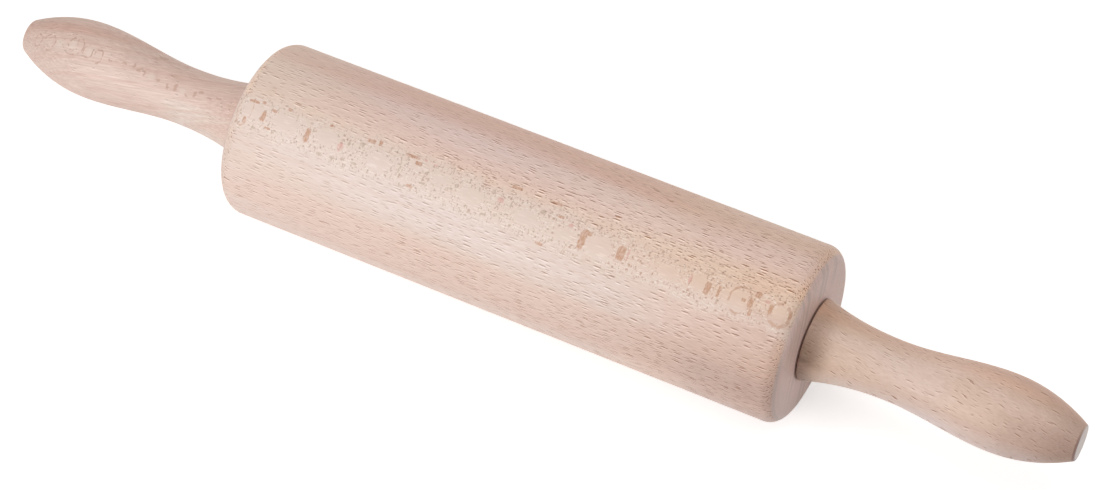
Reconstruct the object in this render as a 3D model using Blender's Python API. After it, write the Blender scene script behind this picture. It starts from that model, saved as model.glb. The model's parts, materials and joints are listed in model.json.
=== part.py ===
"""Beech rolling pin: a roller on two ball bearings, round a steel axle that joins two turned handles.

Metres, +Z up. The axle runs along +X, and the origin is on the worktop, under the middle of the roller.
Each turned piece is an outline of (x, radius) points, spun about the axle's line. The pieces of one end
are modelled once, at the right end, with x measured from the middle of the roller.
"""

import math

import bmesh
import bpy
from mathutils import Matrix

# Roller
ROLLER_DIAMETER = 0.070
ROLLER_LENGTH = 0.2355
ROLLER_EDGE_ROUND = 0.0062
SEAT_LEAD_IN = 0.0005

# Handles
HANDLE_LENGTH = 0.1055
HANDLE_NECK_DIAMETER = 0.0323
HANDLE_WAIST_DIAMETER = 0.0230
HANDLE_BELLY_DIAMETER = 0.0305
HANDLE_TIP_DIAMETER = 0.0143
HANDLE_WAIST_SHARE = 0.31
HANDLE_BELLY_SHARE = 0.705
HANDLE_EDGE_CHAMFER = 0.0006
NECK_FLARE_POWER = 2.2
TIP_CURVE_POWER = 2.1
SOCKET_CONE_DEPTH = 0.0025

# Axle
AXLE_CORE_DIAMETER = 0.010
AXLE_JOURNAL_DIAMETER = 0.008
AXLE_GRIP_LENGTH = 0.042
AXLE_CHAMFER = 0.0008

# Bearings
BEARING_DIAMETER = 0.022
BEARING_WIDTH = 0.007
BEARING_RECESS = 0.0002
BALL_DIAMETER = 0.00397
BALL_COUNT = 7
RACE_CHAMFER = 0.0004
RACE_SHOULDER_SHARE = 0.70
SHIELD_THICKNESS = 0.0003
SHIELD_REBATE_SHARE = 0.45
CAGE_LIP_SHARE = 0.55

# Fasteners
WASHER_THICKNESS = 0.001
NUT_ACROSS_FLATS = 0.013
NUT_THICKNESS = 0.004
NUT_CHAMFER_SLOPE = math.tan(math.radians(30))
INSERT_DIAMETER = 0.012
INSERT_LENGTH = 0.015
INSERT_BARB_DEPTH = 0.0006
INSERT_BARB_COUNT = 4
INSERT_CHAMFER = 0.0006

# Clearances
RUNNING_GAP = 0.0008
CORE_CLEARANCE = 0.001
NUT_CLEARANCE = 0.0006
WOOD_FIT = 0.0003
METAL_FIT = 0.0002
BALL_CLEARANCE = 0.0002
CAGE_CLEARANCE = 0.0003
CUT_OVERRUN = 0.001

# Facets round each kind of piece, and points along its curves
ROLLER_SIDES = 64
HANDLE_SIDES = 36
AXLE_SIDES = 24
BEARING_SIDES = 24
INSERT_SIDES = 16
NUT_SIDES = 6
POCKET_SIDES = 12
BALL_SIDES = 10
BALL_RINGS = 6
EDGE_POINTS = 6
GROOVE_POINTS = 5
NECK_POINTS = 6
GRIP_POINTS = 8
TIP_POINTS = 7
WELD_DISTANCE = 1e-7
SMOOTH_ANGLE = math.radians(35)

# Sizes worked out from those above
HALF_LENGTH = ROLLER_LENGTH / 2
AXLE_HEIGHT = ROLLER_DIAMETER / 2 * math.cos(math.pi / ROLLER_SIDES)
JOURNAL_RADIUS = AXLE_JOURNAL_DIAMETER / 2
CORE_RADIUS = AXLE_CORE_DIAMETER / 2
AXLE_END = HALF_LENGTH + AXLE_GRIP_LENGTH

BEARING_RADIUS = BEARING_DIAMETER / 2
BEARING_BORE_RADIUS = JOURNAL_RADIUS + METAL_FIT
BEARING_OUTER_FACE = HALF_LENGTH - BEARING_RECESS
BEARING_MIDDLE = BEARING_OUTER_FACE - BEARING_WIDTH / 2
BEARING_INNER_FACE = BEARING_OUTER_FACE - BEARING_WIDTH
BALL_RADIUS = BALL_DIAMETER / 2
PITCH_RADIUS = (BEARING_RADIUS + BEARING_BORE_RADIUS) / 2
GROOVE_RADIUS = BALL_RADIUS + BALL_CLEARANCE
SHOULDER_REACH = BALL_RADIUS * RACE_SHOULDER_SHARE
SHOULDER_ANGLE = math.asin(SHOULDER_REACH / GROOVE_RADIUS)
INNER_LAND_RADIUS = PITCH_RADIUS - SHOULDER_REACH
OUTER_LAND_RADIUS = PITCH_RADIUS + SHOULDER_REACH
SHIELD_REBATE_DEPTH = SHIELD_THICKNESS + METAL_FIT
SHIELD_REBATE_RADIUS = OUTER_LAND_RADIUS + (BEARING_RADIUS - OUTER_LAND_RADIUS) * SHIELD_REBATE_SHARE
CAGE_BACK = BEARING_INNER_FACE + SHIELD_REBATE_DEPTH + CAGE_CLEARANCE
CAGE_FRONT = BEARING_MIDDLE + BALL_RADIUS * CAGE_LIP_SHARE
BALL_STEP = math.tau / BALL_COUNT

SEAT_RADIUS = BEARING_RADIUS + WOOD_FIT
SEAT_BOTTOM = BEARING_INNER_FACE - METAL_FIT
ROLLER_BORE_RADIUS = CORE_RADIUS + CORE_CLEARANCE

WASHER_START = BEARING_OUTER_FACE + METAL_FIT
WASHER_END = WASHER_START + WASHER_THICKNESS
WASHER_RADIUS = INNER_LAND_RADIUS
NUT_START = WASHER_END + METAL_FIT
NUT_MIDDLE = NUT_START + NUT_THICKNESS / 2
NUT_END = NUT_START + NUT_THICKNESS
NUT_CORNER_RADIUS = NUT_ACROSS_FLATS / 2 / math.cos(math.pi / NUT_SIDES)

HANDLE_START = HALF_LENGTH + RUNNING_GAP
HANDLE_END = HANDLE_START + HANDLE_LENGTH
NUT_POCKET_RADIUS = max(NUT_CORNER_RADIUS, WASHER_RADIUS) + NUT_CLEARANCE
NUT_POCKET_END = NUT_END + METAL_FIT
INSERT_START = NUT_POCKET_END + METAL_FIT
INSERT_END = INSERT_START + INSERT_LENGTH
INSERT_POCKET_RADIUS = INSERT_DIAMETER / 2 + WOOD_FIT
INSERT_POCKET_END = INSERT_END + WOOD_FIT
SOCKET_RADIUS = JOURNAL_RADIUS + WOOD_FIT
SOCKET_END = max(AXLE_END, INSERT_POCKET_END) + WOOD_FIT


def remove_startup_objects():
    """Empties the scene, so that the model starts from nothing."""
    for item in list(bpy.data.objects):
        bpy.data.objects.remove(item, do_unlink=True)


def make_material(name, colour, roughness, metallic=0.0):
    """A Principled material with one colour."""
    material = bpy.data.materials.new(name)
    material.use_nodes = True
    shader = material.node_tree.nodes["Principled BSDF"]
    shader.inputs["Base Color"].default_value = (*colour, 1.0)
    shader.inputs["Roughness"].default_value = roughness
    shader.inputs["Metallic"].default_value = metallic
    material.diffuse_color = (*colour, 1.0)
    return material


def make_empty(name, parent=None, location=(0, 0, 0), turn=0.0):
    """An empty that places what is parented to it, turned about Z."""
    item = bpy.data.objects.new(name, None)
    bpy.context.scene.collection.objects.link(item)
    item.parent = parent
    item.location = location
    item.rotation_euler = (0, 0, turn)
    return item


def place(name, mesh, material, parent):
    """An object of that mesh, material and parent."""
    item = bpy.data.objects.new(name, mesh)
    bpy.context.scene.collection.objects.link(item)
    item.parent = parent
    if not mesh.materials:
        mesh.materials.append(material)
    return item


def finish_mesh(name, form):
    """Turns a bmesh into a mesh with its faces pointing out and its round sides shaded smooth."""
    bmesh.ops.remove_doubles(form, verts=form.verts, dist=WELD_DISTANCE)
    bmesh.ops.recalc_face_normals(form, faces=form.faces)
    mesh = bpy.data.meshes.new(name)
    form.to_mesh(mesh)
    form.free()
    mesh.shade_smooth()
    mesh.set_sharp_from_angle(angle=SMOOTH_ANGLE)
    return mesh


def spin_outline(form, outline, sides, closed):
    """Spins (x, radius) points about the X axis, so that one facet faces straight down."""
    half_facet = math.pi / sides
    corners = [
        form.verts.new((x, radius * math.sin(half_facet), radius * math.cos(half_facet)))
        for x, radius in outline
    ]
    edges = [form.edges.new(pair) for pair in zip(corners, corners[1:])]
    if closed:
        edges.append(form.edges.new((corners[-1], corners[0])))
    bmesh.ops.spin(
        form,
        geom=corners + edges,
        cent=(0, 0, 0),
        axis=(1, 0, 0),
        angle=math.tau,
        steps=sides,
        use_merge=True,
    )


def turned(name, outline, sides, closed=True):
    """A turned mesh. A closed outline makes a ring, and one that is open starts and ends on the axis."""
    form = bmesh.new()
    spin_outline(form, outline, sides, closed)
    return finish_mesh(name, form)


def arc(centre_x, centre_radius, radius, start, end, points):
    """Points of an arc in the (x, radius) plane, between two angles from +X, both ends included."""
    angles = [start + (end - start) * step / (points - 1) for step in range(points)]
    return [(centre_x + radius * math.cos(a), centre_radius + radius * math.sin(a)) for a in angles]


def cut_by(mesh, cutter, operation="DIFFERENCE"):
    """The mesh after a Boolean with the cutter's mesh, which isn't used again."""
    target = bpy.data.objects.new(mesh.name, mesh)
    helper = bpy.data.objects.new(cutter.name, cutter)
    for item in (target, helper):
        bpy.context.scene.collection.objects.link(item)
    modifier = target.modifiers.new("cut", "BOOLEAN")
    modifier.object = helper
    modifier.operation = operation
    graph = bpy.context.evaluated_depsgraph_get()
    result = bpy.data.meshes.new_from_object(target.evaluated_get(graph))
    result.name = mesh.name
    for item in (target, helper):
        bpy.data.objects.remove(item, do_unlink=True)
    result.shade_smooth()
    result.set_sharp_from_angle(angle=SMOOTH_ANGLE)
    return result


def roller_mesh():
    """The barrel: rounded ends, a bore that clears the axle, and a seat for a bearing at each end."""
    round_x = HALF_LENGTH - ROLLER_EDGE_ROUND
    round_radius = ROLLER_DIAMETER / 2 - ROLLER_EDGE_ROUND
    right_half = [
        *arc(round_x, round_radius, ROLLER_EDGE_ROUND, math.pi / 2, 0, EDGE_POINTS),
        (HALF_LENGTH, SEAT_RADIUS + SEAT_LEAD_IN),
        (HALF_LENGTH - SEAT_LEAD_IN, SEAT_RADIUS),
        (SEAT_BOTTOM, SEAT_RADIUS),
        (SEAT_BOTTOM, ROLLER_BORE_RADIUS),
    ]
    left_half = [(-x, r) for x, r in reversed(right_half)]
    return turned("roller", right_half + left_half, ROLLER_SIDES)


def axle_mesh():
    """The rod: a core through the roller, and at each end a journal for the bearing, nut and handle."""
    right_half = [
        (SEAT_BOTTOM, CORE_RADIUS),
        (SEAT_BOTTOM, JOURNAL_RADIUS),
        (AXLE_END - AXLE_CHAMFER, JOURNAL_RADIUS),
        (AXLE_END, JOURNAL_RADIUS - AXLE_CHAMFER),
        (AXLE_END, 0),
    ]
    left_half = [(-x, r) for x, r in reversed(right_half)]
    return turned("axle_rod", left_half + right_half, AXLE_SIDES, closed=False)


def grip_outline():
    """The handle's outside, from the neck's end face to the flat at its tip.

    It flares at the neck, draws in to a waist, swells to a belly and curves in to the tip.
    """
    neck, waist = HANDLE_NECK_DIAMETER / 2, HANDLE_WAIST_DIAMETER / 2
    belly, tip = HANDLE_BELLY_DIAMETER / 2, HANDLE_TIP_DIAMETER / 2
    waist_x = HANDLE_START + HANDLE_LENGTH * HANDLE_WAIST_SHARE
    belly_x = HANDLE_START + HANDLE_LENGTH * HANDLE_BELLY_SHARE
    points = [(HANDLE_START, neck - HANDLE_EDGE_CHAMFER)]
    flare_start = HANDLE_START + HANDLE_EDGE_CHAMFER
    for step in range(NECK_POINTS):
        along = step / NECK_POINTS
        x = flare_start + (waist_x - flare_start) * along
        points.append((x, waist + (neck - waist) * (1 - along) ** NECK_FLARE_POWER))
    for step in range(GRIP_POINTS):
        along = step / GRIP_POINTS
        swell = along * along * (3 - 2 * along)
        points.append((waist_x + (belly_x - waist_x) * along, waist + (belly - waist) * swell))
    for step in range(TIP_POINTS + 1):
        along = step / TIP_POINTS
        x = belly_x + (HANDLE_END - HANDLE_EDGE_CHAMFER - belly_x) * along
        points.append((x, belly - (belly - tip) * along**TIP_CURVE_POWER))
    points.append((HANDLE_END, tip - HANDLE_EDGE_CHAMFER))
    return points


def handle_mesh():
    """A handle: its turned outside, and a stepped blind hole for the nut, the insert and the rod."""
    hole = [
        (HANDLE_START, NUT_POCKET_RADIUS),
        (NUT_POCKET_END, NUT_POCKET_RADIUS),
        (NUT_POCKET_END, INSERT_POCKET_RADIUS),
        (INSERT_POCKET_END, INSERT_POCKET_RADIUS),
        (INSERT_POCKET_END, SOCKET_RADIUS),
        (SOCKET_END, SOCKET_RADIUS),
        (SOCKET_END + SOCKET_CONE_DEPTH, 0),
    ]
    outline = [*reversed(hole), *grip_outline(), (HANDLE_END, 0)]
    return turned("handle", outline, HANDLE_SIDES, closed=False)


def groove(start, end):
    """Points of a race's groove, between two angles from +X round the ball's centre."""
    return arc(BEARING_MIDDLE, PITCH_RADIUS, GROOVE_RADIUS, start, end, GROOVE_POINTS)


def outer_race_mesh():
    """The bearing's outer ring, grooved for the balls, with a rebate on each side that holds a shield."""
    outline = [
        (BEARING_INNER_FACE + RACE_CHAMFER, BEARING_RADIUS),
        (BEARING_OUTER_FACE - RACE_CHAMFER, BEARING_RADIUS),
        (BEARING_OUTER_FACE, BEARING_RADIUS - RACE_CHAMFER),
        (BEARING_OUTER_FACE, SHIELD_REBATE_RADIUS),
        (BEARING_OUTER_FACE - SHIELD_REBATE_DEPTH, SHIELD_REBATE_RADIUS),
        (BEARING_OUTER_FACE - SHIELD_REBATE_DEPTH, OUTER_LAND_RADIUS),
        *groove(SHOULDER_ANGLE, math.pi - SHOULDER_ANGLE),
        (BEARING_INNER_FACE + SHIELD_REBATE_DEPTH, OUTER_LAND_RADIUS),
        (BEARING_INNER_FACE + SHIELD_REBATE_DEPTH, SHIELD_REBATE_RADIUS),
        (BEARING_INNER_FACE, SHIELD_REBATE_RADIUS),
        (BEARING_INNER_FACE, BEARING_RADIUS - RACE_CHAMFER),
    ]
    return turned("outer_race", outline, BEARING_SIDES)


def inner_race_mesh():
    """The bearing's inner ring, which sits on the axle's journal."""
    outline = [
        (BEARING_INNER_FACE, INNER_LAND_RADIUS),
        *groove(SHOULDER_ANGLE - math.pi, -SHOULDER_ANGLE),
        (BEARING_OUTER_FACE, INNER_LAND_RADIUS),
        (BEARING_OUTER_FACE, BEARING_BORE_RADIUS + RACE_CHAMFER),
        (BEARING_OUTER_FACE - RACE_CHAMFER, BEARING_BORE_RADIUS),
        (BEARING_INNER_FACE + RACE_CHAMFER, BEARING_BORE_RADIUS),
        (BEARING_INNER_FACE, BEARING_BORE_RADIUS + RACE_CHAMFER),
    ]
    return turned("inner_race", outline, BEARING_SIDES)


def ball_mesh():
    """One ball, at the top of the pitch circle. The others are this one, turned about the axle."""
    form = bmesh.new()
    bmesh.ops.create_uvsphere(
        form,
        u_segments=BALL_SIDES,
        v_segments=BALL_RINGS,
        radius=BALL_RADIUS,
        matrix=Matrix.Translation((BEARING_MIDDLE, 0, PITCH_RADIUS)),
    )
    return finish_mesh("ball", form)


def cage_mesh():
    """The crown cage: a ring between the races, with a pocket for each ball, open on the outer side."""
    inner = INNER_LAND_RADIUS + CAGE_CLEARANCE
    outer = OUTER_LAND_RADIUS - CAGE_CLEARANCE
    corners = [(CAGE_BACK, inner), (CAGE_FRONT, inner), (CAGE_FRONT, outer), (CAGE_BACK, outer)]
    ring = turned("cage", corners, BEARING_SIDES)
    pockets = bmesh.new()
    for number in range(BALL_COUNT):
        turn = Matrix.Rotation(BALL_STEP * number, 4, "X")
        bmesh.ops.create_cone(
            pockets,
            cap_ends=True,
            segments=POCKET_SIDES,
            radius1=GROOVE_RADIUS,
            radius2=GROOVE_RADIUS,
            depth=outer,
            matrix=turn @ Matrix.Translation((BEARING_MIDDLE, 0, outer / 2 + CUT_OVERRUN)),
        )
    return cut_by(ring, finish_mesh("pockets", pockets))


def shield_mesh(start):
    """One of the two thin discs that close the bearing's sides, held in the outer ring's rebate."""
    end = start + SHIELD_THICKNESS
    bore = INNER_LAND_RADIUS + CAGE_CLEARANCE
    rim = SHIELD_REBATE_RADIUS - METAL_FIT
    return turned("shield", [(start, bore), (end, bore), (end, rim), (start, rim)], BEARING_SIDES)


def washer_mesh():
    """The washer between the inner race and the nut. It stays inside the shield's bore."""
    bore = JOURNAL_RADIUS + METAL_FIT
    corners = [
        (WASHER_START, bore),
        (WASHER_END, bore),
        (WASHER_END, WASHER_RADIUS),
        (WASHER_START, WASHER_RADIUS),
    ]
    return turned("washer", corners, AXLE_SIDES)


def nut_mesh():
    """The hexagonal nut that clamps the washer and the inner race against the axle's shoulder."""
    form = bmesh.new()
    bmesh.ops.create_cone(
        form,
        cap_ends=True,
        segments=NUT_SIDES,
        radius1=NUT_CORNER_RADIUS,
        radius2=NUT_CORNER_RADIUS,
        depth=NUT_THICKNESS,
        matrix=Matrix.Translation((NUT_MIDDLE, 0, 0)) @ Matrix.Rotation(math.pi / 2, 4, "Y"),
    )
    flats = NUT_ACROSS_FLATS / 2
    wide = NUT_CORNER_RADIUS + CUT_OVERRUN
    drop = (wide - flats) * NUT_CHAMFER_SLOPE
    chamfers = [
        (NUT_START, 0),
        (NUT_START, flats),
        (NUT_START + drop, wide),
        (NUT_END - drop, wide),
        (NUT_END, flats),
        (NUT_END, 0),
    ]
    bore = JOURNAL_RADIUS + METAL_FIT
    hole = [
        (NUT_START - CUT_OVERRUN, 0),
        (NUT_START - CUT_OVERRUN, bore),
        (NUT_END + CUT_OVERRUN, bore),
        (NUT_END + CUT_OVERRUN, 0),
    ]
    blank = turned("chamfers", chamfers, AXLE_SIDES, closed=False)
    chamfered = cut_by(finish_mesh("nut", form), blank, "INTERSECT")
    return cut_by(chamfered, turned("hole", hole, AXLE_SIDES, closed=False))


def insert_mesh():
    """The barbed sleeve pressed into the handle, which screws onto the end of the axle."""
    rim = INSERT_DIAMETER / 2
    root = rim - INSERT_BARB_DEPTH
    bore = JOURNAL_RADIUS + METAL_FIT
    barb = (INSERT_LENGTH - INSERT_CHAMFER) / INSERT_BARB_COUNT
    outside = []
    for number in range(INSERT_BARB_COUNT):
        start = INSERT_START + barb * number
        outside += [(start, rim), (start + barb, root)]
    return turned(
        "insert",
        [
            (INSERT_START, bore + INSERT_CHAMFER),
            *outside,
            (INSERT_END, root - INSERT_CHAMFER),
            (INSERT_END, bore),
            (INSERT_START + INSERT_CHAMFER, bore),
        ],
        INSERT_SIDES,
    )


def build():
    """Models every piece, and hangs it on the empty that stands for the body that carries it."""
    remove_startup_objects()
    roller_wood = make_material("roller_wood", (0.76, 0.60, 0.53), 0.62)
    handle_wood = make_material("handle_wood", (0.68, 0.50, 0.42), 0.58)
    axle_steel = make_material("axle_steel", (0.56, 0.56, 0.57), 0.32, 1.0)
    bearing_steel = make_material("bearing_steel", (0.70, 0.70, 0.72), 0.16, 1.0)
    cage_nylon = make_material("cage_nylon", (0.74, 0.72, 0.66), 0.50)
    fastener_zinc = make_material("fastener_zinc", (0.62, 0.63, 0.65), 0.36, 1.0)
    insert_brass = make_material("insert_brass", (0.72, 0.55, 0.25), 0.34, 1.0)

    spin_axis = make_empty("spin_axis", location=(0, 0, AXLE_HEIGHT))
    place("roller", roller_mesh(), roller_wood, spin_axis)
    place("axle_rod", axle_mesh(), axle_steel, spin_axis)

    end_pieces = [
        ("outer_race", outer_race_mesh(), bearing_steel),
        ("inner_race", inner_race_mesh(), bearing_steel),
        ("ball_cage", cage_mesh(), cage_nylon),
        ("inner_shield", shield_mesh(BEARING_INNER_FACE), bearing_steel),
        ("outer_shield", shield_mesh(BEARING_OUTER_FACE - SHIELD_THICKNESS), bearing_steel),
        ("washer", washer_mesh(), fastener_zinc),
        ("lock_nut", nut_mesh(), fastener_zinc),
        ("handle_insert", insert_mesh(), insert_brass),
        ("handle", handle_mesh(), handle_wood),
    ]
    ball = ball_mesh()
    for side, turn in (("right", 0.0), ("left", math.pi)):
        end = make_empty(f"{side}_end", spin_axis, turn=turn)
        for name, mesh, material in end_pieces:
            place(f"{side}_{name}", mesh, material, end)
        for number in range(BALL_COUNT):
            item = place(f"{side}_ball_{number + 1}", ball, bearing_steel, end)
            item.rotation_euler = (BALL_STEP * number, 0, 0)


build()
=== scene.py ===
"""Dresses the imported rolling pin: smooth turned beech round its steel, a white floor, soft lamps, a camera.

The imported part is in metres, with its axle along +X. The wood's patterns are worked out in millimetres, in
the grain's own directions: along the fibres, along the rays, and across both.
"""

import json
import math
from functools import reduce

import bmesh
import bpy
from mathutils import Euler, Matrix, Vector


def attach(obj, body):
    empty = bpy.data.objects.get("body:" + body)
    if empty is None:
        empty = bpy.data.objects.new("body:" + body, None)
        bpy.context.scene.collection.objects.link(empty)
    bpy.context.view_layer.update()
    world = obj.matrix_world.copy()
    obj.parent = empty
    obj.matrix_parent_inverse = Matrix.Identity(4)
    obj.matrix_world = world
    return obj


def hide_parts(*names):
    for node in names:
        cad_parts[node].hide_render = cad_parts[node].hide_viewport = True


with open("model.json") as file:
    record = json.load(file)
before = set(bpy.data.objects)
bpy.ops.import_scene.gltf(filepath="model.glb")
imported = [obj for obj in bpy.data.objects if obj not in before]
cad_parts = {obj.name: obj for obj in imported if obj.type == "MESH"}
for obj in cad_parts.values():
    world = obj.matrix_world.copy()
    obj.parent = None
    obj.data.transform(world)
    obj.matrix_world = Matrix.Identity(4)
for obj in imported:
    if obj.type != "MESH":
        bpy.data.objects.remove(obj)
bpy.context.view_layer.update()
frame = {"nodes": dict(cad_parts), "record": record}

# The turned pieces, in metres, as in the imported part. Only a handle's edges, at its neck and its tip, follow
# the photograph
ROLLER_HALF_LENGTH = 0.11775
ROLLER_EDGE_ROUND = 0.0062
AXLE_HEIGHT = 0.034957841
SEAT_RADIUS = 0.0113
SEAT_LEAD_IN = 0.0005
SEAT_BOTTOM = 0.11035
BORE_RADIUS = 0.006
HANDLE_START = 0.11855
HANDLE_LENGTH = 0.1055
HANDLE_END = HANDLE_START + HANDLE_LENGTH
NECK_RADIUS = 0.01615
WAIST_RADIUS = 0.0115
BELLY_RADIUS = 0.01525
TIP_RADIUS = 0.00715
WAIST_SHARE = 0.31
BELLY_SHARE = 0.705
NECK_FLARE_POWER = 2.2
TIP_CURVE_POWER = 2.1
RIGHT_TIP_EDGE = 0.0006
LEFT_TIP_EDGE = 0.002
NECK_EDGE = 0.0002
# The handle's blind hole: where each step ends, and its radius
HANDLE_HOLE = ((0.12375, 0.0081), (0.1392, 0.0063), (0.16005, 0.0043))
HOLE_CONE_END = 0.16255

# Facets
ROLLER_SIDES = 256
HANDLE_SIDES = 128
EDGE_POINTS = 14
NECK_EDGE_POINTS = 5
TIP_EDGE_POINTS = 9
BARREL_STEPS = 24
CURVE_STEPS = 26
SMOOTH_ANGLE = math.radians(32)
MERGE_DISTANCE = 1e-7

# Photograph, and the camera fitted to it
IMAGE_WIDTH, IMAGE_HEIGHT = 1100, 490
SENSOR_WIDTH = 36
FOCAL_PIXELS = 3430
AZIMUTH, ELEVATION = math.radians(27.09), math.radians(49.46)
DISTANCE = 1.3033
CENTRE_PIXEL = (529.5, 229.1)
CLIP_START, CLIP_END = 0.01, 50

MILLIMETRES = 1000


def placed(name, data):
    """A new object in the scene."""
    item = bpy.data.objects.new(name, data)
    bpy.context.scene.collection.objects.link(item)
    return item


def srgb(red, green, blue):
    """A colour written as screen values from 0 to 255, as the linear one that shaders take."""
    return tuple(((c / 255 + 0.055) / 1.055) ** 2.4 for c in (red, green, blue)) + (1.0,)


# ---- nodes
def feed(tree, target, inputs):
    """Sets a node's inputs. Each takes a number, a vector, a colour or another node's socket."""
    for key, value in inputs.items():
        if isinstance(value, bpy.types.NodeSocket):
            tree.links.new(value, target.inputs[key])
        else:
            target.inputs[key].default_value = value


def node(tree, kind, inputs=None, **settings):
    """A new shader node with its settings and inputs."""
    made = tree.nodes.new("ShaderNode" + kind)
    for name, value in settings.items():
        setattr(made, name, value)
    feed(tree, made, inputs or {})
    return made


def maths(tree, operation, *values):
    """The result of a Math node."""
    return node(tree, "Math", dict(enumerate(values)), operation=operation).outputs[0]


def vector_maths(tree, operation, *values):
    """The vector result of a Vector Math node."""
    return node(tree, "VectorMath", dict(enumerate(values)), operation=operation).outputs[0]


def product(tree, *values):
    """The product of one or more values."""
    return reduce(lambda first, other: maths(tree, "MULTIPLY", first, other), values)


def least_of(tree, values):
    """The smallest of the values. A generator makes each one just before it is compared, so few are held."""
    return reduce(lambda first, other: maths(tree, "MINIMUM", first, other), values)


def without(tree, value, mask):
    """The value where the mask is 0, and nothing where it is 1."""
    return maths(tree, "MULTIPLY", value, maths(tree, "SUBTRACT", 1.0, mask))


def length_of(tree, vector):
    """The vector's length."""
    return node(tree, "VectorMath", {0: vector}, operation="LENGTH").outputs["Value"]


def fade(tree, value, start, end, low=0.0, high=1.0, course="SMOOTHSTEP"):
    """A smooth step: low where the value is at start, and high where it is at end."""
    inputs = {"Value": value, "From Min": start, "From Max": end, "To Min": low, "To Max": high}
    return node(tree, "MapRange", inputs, interpolation_type=course).outputs[0]


def spread(tree, value, start, end, low=0.0, high=1.0):
    """The same, but straight between the two."""
    return fade(tree, value, start, end, low, high, "LINEAR")


# A Mix node's colour sockets go by number, because its other kinds of socket share their names
MIX_FACTOR, MIX_FIRST, MIX_SECOND, MIX_RESULT = 0, 6, 7, 2


def mix(tree, factor, first, second, blend="MIX"):
    """A mix of two colours."""
    inputs = {MIX_FACTOR: factor, MIX_FIRST: first, MIX_SECOND: second}
    return node(tree, "Mix", inputs, data_type="RGBA", blend_type=blend).outputs[MIX_RESULT]


def laid_on(tree, colour, cover, *masks, blend="MIX"):
    """The colour with a cover over it, as far as the product of the masks goes."""
    return mix(tree, product(tree, *masks), colour, cover, blend)


SEED_STEP = (7.31, 3.77, 5.13)


def scaled(tree, place, size, seed):
    """The place in units of size, a triple in millimetres, moved by a seed."""
    inverse = tuple(1 / s for s in size)
    shift = tuple(seed * step for step in SEED_STEP)
    return vector_maths(tree, "MULTIPLY_ADD", place, inverse, shift)


def noise(tree, place, size, seed, detail=2.0, roughness=0.5, output="Fac"):
    """Noise whose lumps have that size in millimetres."""
    vector = scaled(tree, place, size, seed)
    inputs = {"Vector": vector, "Scale": 1.0, "Detail": detail, "Roughness": roughness}
    return node(tree, "TexNoise", inputs).outputs[output]


def cells(tree, place, size, seed):
    """Scattered points, one to a box of that size: how far the nearest is, and its random colour."""
    made = node(tree, "TexVoronoi", {"Vector": scaled(tree, place, size, seed), "Scale": 1.0})
    return made.outputs["Distance"], made.outputs["Color"]


NOISE_CENTRE = (0.5, 0.5, 0.5)


def wandering(tree, place, size, reach, seed):
    """The place, moved to and fro by smooth noise of that size."""
    drift = noise(tree, place, size, seed, output="Color")
    centred = vector_maths(tree, "SUBTRACT", drift, NOISE_CENTRE)
    return vector_maths(tree, "MULTIPLY_ADD", centred, reach, place)


def new_material(name):
    """A material with a Principled shader: the material, its tree and the shader."""
    material = bpy.data.materials.new(name)
    material.use_nodes = True
    tree = material.node_tree
    return material, tree, tree.nodes["Principled BSDF"]


# ---- beech: its frame and zones
# Sizes and places in the wood are in millimetres. A zone's step is an axis and where the step starts and
# ends, with its low and high values where they aren't 0 and 1. The axes are the grain's own three, the
# distance from the axle's line, and how far the surface faces along that line.
ALONG, RAYWISE, ACROSS, OFF_AXLE, FACING = range(5)
NOISE_MIDDLE = (0.3, 0.7)


def grain_place(tree, turn, slope=0.0, droop=0.0):
    """Millimetres along the fibres, along the rays and across both, with the axle's line at nought.

    turn is how far the rays lean from +Y towards -Z. slope and droop are how far the fibres slant from the
    axle: slope about the line across both, and droop about the rays.
    """
    rotation = Euler((turn, droop, slope))
    lift = rotation.to_matrix() @ Vector((0, 0, AXLE_HEIGHT * MILLIMETRES))
    inputs = {
        "Vector": node(tree, "TexCoord").outputs["Object"],
        "Location": -lift,
        "Rotation": rotation,
        "Scale": (MILLIMETRES,) * 3,
    }
    return node(tree, "Mapping", inputs, vector_type="POINT").outputs[0]


def split(tree, vector):
    """The vector's three parts."""
    return tuple(node(tree, "SeparateXYZ", {0: vector}).outputs)


def zone(tree, parts, *steps):
    """A mask made of smooth steps along the parts."""
    return product(tree, *(fade(tree, parts[axis], *ends) for axis, *ends in steps))


def toned(tree, parts, colour, tones):
    """Tones, the wood's own and painted light and shade: each tint fades in along the wood, and along or
    across its rays.
    """
    for tint, along, side in tones:
        colour = mix(tree, zone(tree, parts, (ALONG, *along), side), colour, tint, "MULTIPLY")
    return colour


# ---- beech: rays and flecks
RAY_CHANCE = (0.1, 0.9)
RAY_CORE_SHARE = 0.6
COARSE_LEAST = 0.15
FINE_LEAST = 0.1
FINE_SHARE = 0.8
RING_SOFTNESS = (1.3, 0.5)


def ray_marks(tree, place, size, reach, seed, least):
    """Rays cut by the surface: thin dashes where they end on it, and broader ones where they lie in it."""
    distance, colour = cells(tree, place, size, seed)
    chance = node(tree, "SeparateColor", {0: colour}).outputs[0]
    strength = spread(tree, chance, *RAY_CHANCE, least, 1)
    return maths(tree, "MULTIPLY", fade(tree, distance, reach, reach * RAY_CORE_SHARE), strength)


def all_rays(tree, place, look):
    """The coarse rays, with fainter fine ones between them."""
    seed = look["seed"]
    coarse = ray_marks(tree, place, look["coarse"], look["coarse_reach"], seed + 4, COARSE_LEAST)
    fine = ray_marks(tree, place, look["fine"], look["fine_reach"], seed + 5, FINE_LEAST)
    return maths(tree, "MAXIMUM", coarse, maths(tree, "MULTIPLY", fine, FINE_SHARE))


def beside(tree, place, body, share):
    """The place a little further round the axle, for the painted highlight beside each mark."""
    onward = vector_maths(tree, "CROSS_PRODUCT", body, (1, 0, 0))
    return vector_maths(tree, "MULTIPLY_ADD", onward, (share,) * 3, place)


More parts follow.
